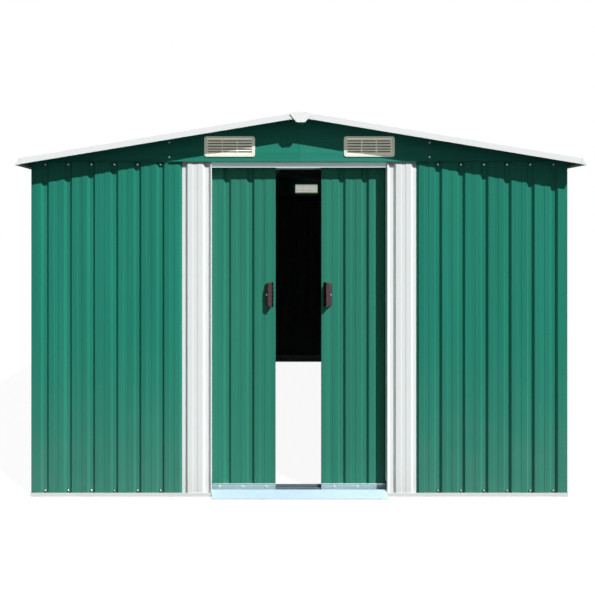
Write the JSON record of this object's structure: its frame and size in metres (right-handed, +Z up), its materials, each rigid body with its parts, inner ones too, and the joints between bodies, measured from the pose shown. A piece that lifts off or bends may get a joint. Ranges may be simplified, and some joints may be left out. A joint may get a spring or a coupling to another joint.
{
  "type": "metal garden storage shed",
  "caption": "Low-gabled metal garden shed with grooved green wall sheets, white trims, louvred gable vents, a galvanised ramp and sliding doors.",
  "frame": {"origin": "centre of the shed's footprint at ground level, on the underside of the base rails", "axes": "+Z up, -Y is the side with the sliding doors, +X to the right of someone facing the doors, +Y along the ridge"},
  "size_m": [2.5674, 2.98, 1.7579],
  "materials": {
    "wall_green": "semi-gloss green coil coating with a dark back coat",
    "door_green": "semi-gloss green coil coating",
    "gable_green": "semi-gloss green coil coating",
    "roof_green": "semi-gloss green coil coating",
    "white_trim": "semi-gloss white coil coating",
    "galvanised": "bright galvanised zinc with faint spangle",
    "inner_frame": "dark primer on folded steel",
    "vent_cream": "moulded cream plastic",
    "handle_plastic": "moulded dark brown plastic",
    "glide_nylon": "black nylon"
  },
  "bodies": {
    "shed": {"base_rail_front_left": "white_trim", "base_rail_front_right": "white_trim", "base_rail_left": "white_trim", "base_rail_right": "white_trim", "base_rail_back": "white_trim", "door_track_bottom": "galvanised", "door_ramp": "galvanised", "front_wall_left": "wall_green", "front_wall_right": "wall_green", "door_trim_left": "white_trim", "door_trim_right": "white_trim", "door_jambs": "white_trim", "left_wall": "wall_green", "right_wall": "wall_green", "back_wall": "wall_green", "door_track_top": "white_trim", "top_rail_left": "inner_frame", "top_rail_right": "inner_frame", "top_rail_back": "inner_frame", "gable_front_left": "gable_green", "gable_front_right": "gable_green", "gable_front_wings": "gable_green", "gable_back_left": "gable_green", "gable_back_right": "gable_green", "gable_back_wings": "gable_green", "vent_front_left": "vent_cream", "vent_front_right": "vent_cream", "vent_back_left": "vent_cream", "vent_back_right": "vent_cream", "roof_left": "roof_green", "roof_right": "roof_green", "ridge_beam": "inner_frame", "roof_purlins": "inner_frame", "ridge_cap": "white_trim", "ridge_end_caps": "white_trim", "fascia_front": "white_trim", "fascia_back": "white_trim", "eave_trim_left": "white_trim", "eave_trim_right": "white_trim"},
    "door_left": {"door_left_sheet": "door_green", "door_left_top_rail": "galvanised", "door_left_bottom_rail": "galvanised", "door_left_glides": "glide_nylon", "door_left_handle": "handle_plastic"},
    "door_right": {"door_right_sheet": "door_green", "door_right_top_rail": "galvanised", "door_right_bottom_rail": "galvanised", "door_right_glides": "glide_nylon", "door_right_handle": "handle_plastic"}
  },
  "joints": [
    {"name": "door_left_slide", "type": "slide", "parent": "shed", "child": "door_left", "axis": [-1, 0, 0], "range_m": [-0.1045, 0.23]},
    {"name": "door_right_slide", "type": "slide", "parent": "shed", "child": "door_right", "axis": [1, 0, 0], "range_m": [-0.1045, 0.23]}
  ]
}
